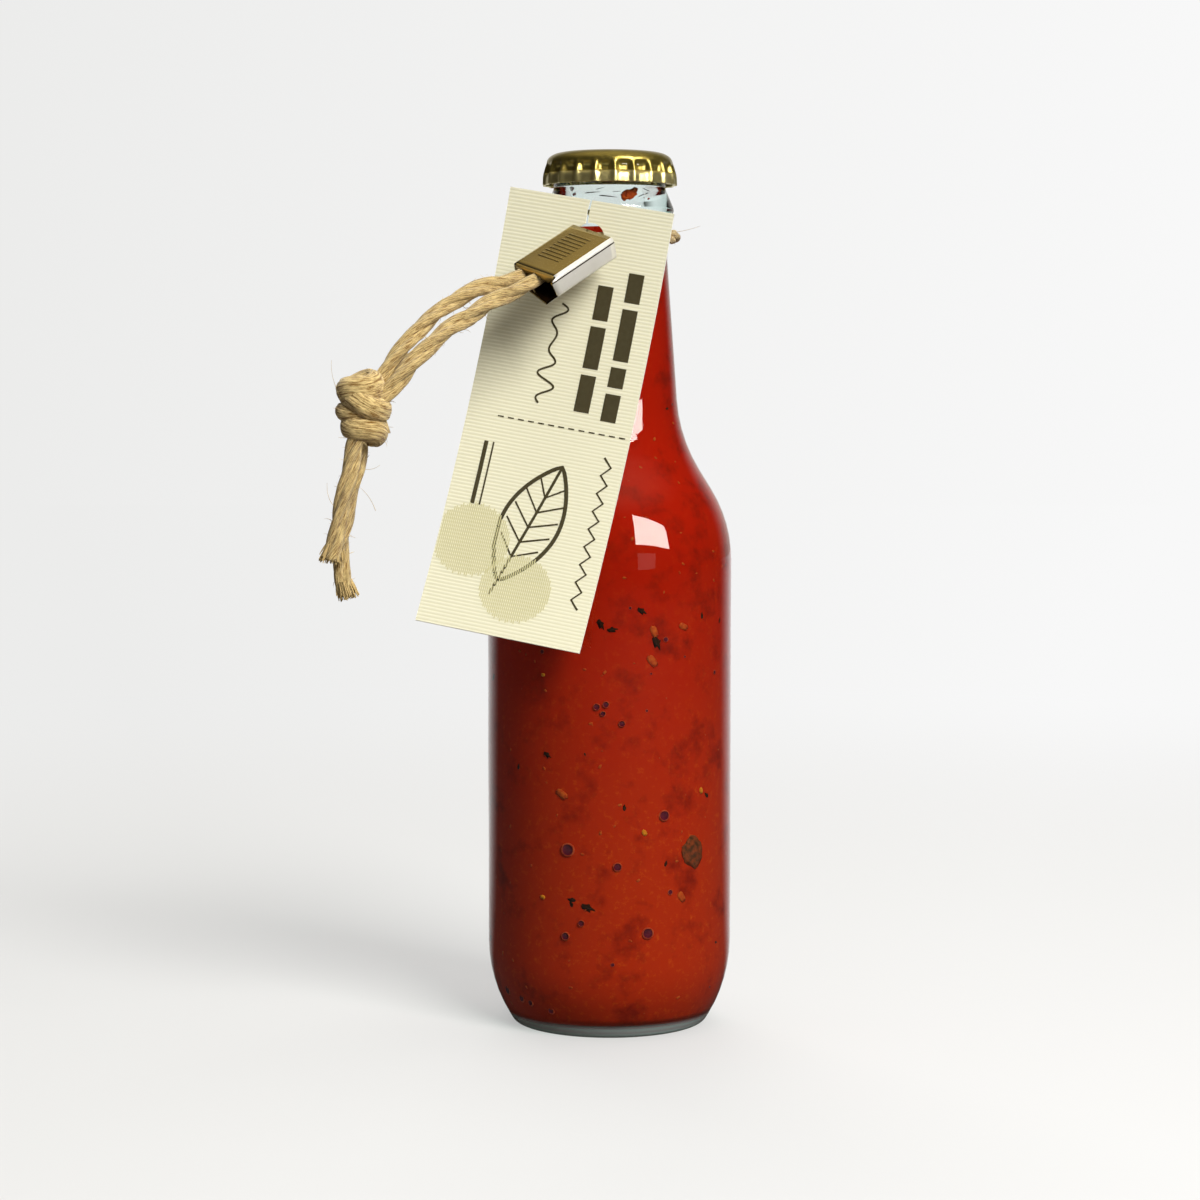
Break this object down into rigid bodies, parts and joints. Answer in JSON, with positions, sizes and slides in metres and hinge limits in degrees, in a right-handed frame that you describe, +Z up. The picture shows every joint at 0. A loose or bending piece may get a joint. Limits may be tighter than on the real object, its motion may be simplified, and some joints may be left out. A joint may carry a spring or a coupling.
{
  "type": "bottle of pasta sauce",
  "caption": "Small glass bottle filled with red vegetable pasta sauce, closed by a crown cap, with a blank-style card hang tag on a clipped and knotted jute cord.",
  "frame": {"origin": "on the bottle's axis, in the plane of the ring that the bottle stands on", "axes": "+Z up along the bottle's axis, -Y towards the side on which the tag hangs, +X to the right seen from that side"},
  "size_m": [0.0825, 0.0801, 0.186],
  "materials": {
    "glass": "clear flint glass, faintly green where it is thick",
    "sauce": "thick oily red sauce with seeds, herbs, pieces of vegetable and small bubbles",
    "lacquered_steel": "tinplate with a glossy olive-gold lacquer",
    "liner": "soft pale sealing compound",
    "card": "cream ribbed card with dark olive print",
    "clip_metal": "polished antique-bronze plating",
    "jute": "twisted jute with loose fibres"
  },
  "bodies": {
    "root": {"bottle": "glass", "sauce": "sauce", "crown_cap": "lacquered_steel", "cap_liner": "liner", "hang_tag": "card", "clip": "clip_metal", "neck_loop": "jute", "strand_upper": "jute", "strand_lower": "jute", "knot": "jute", "tail_long": "jute", "tail_short": "jute"}
  },
  "joints": []
}
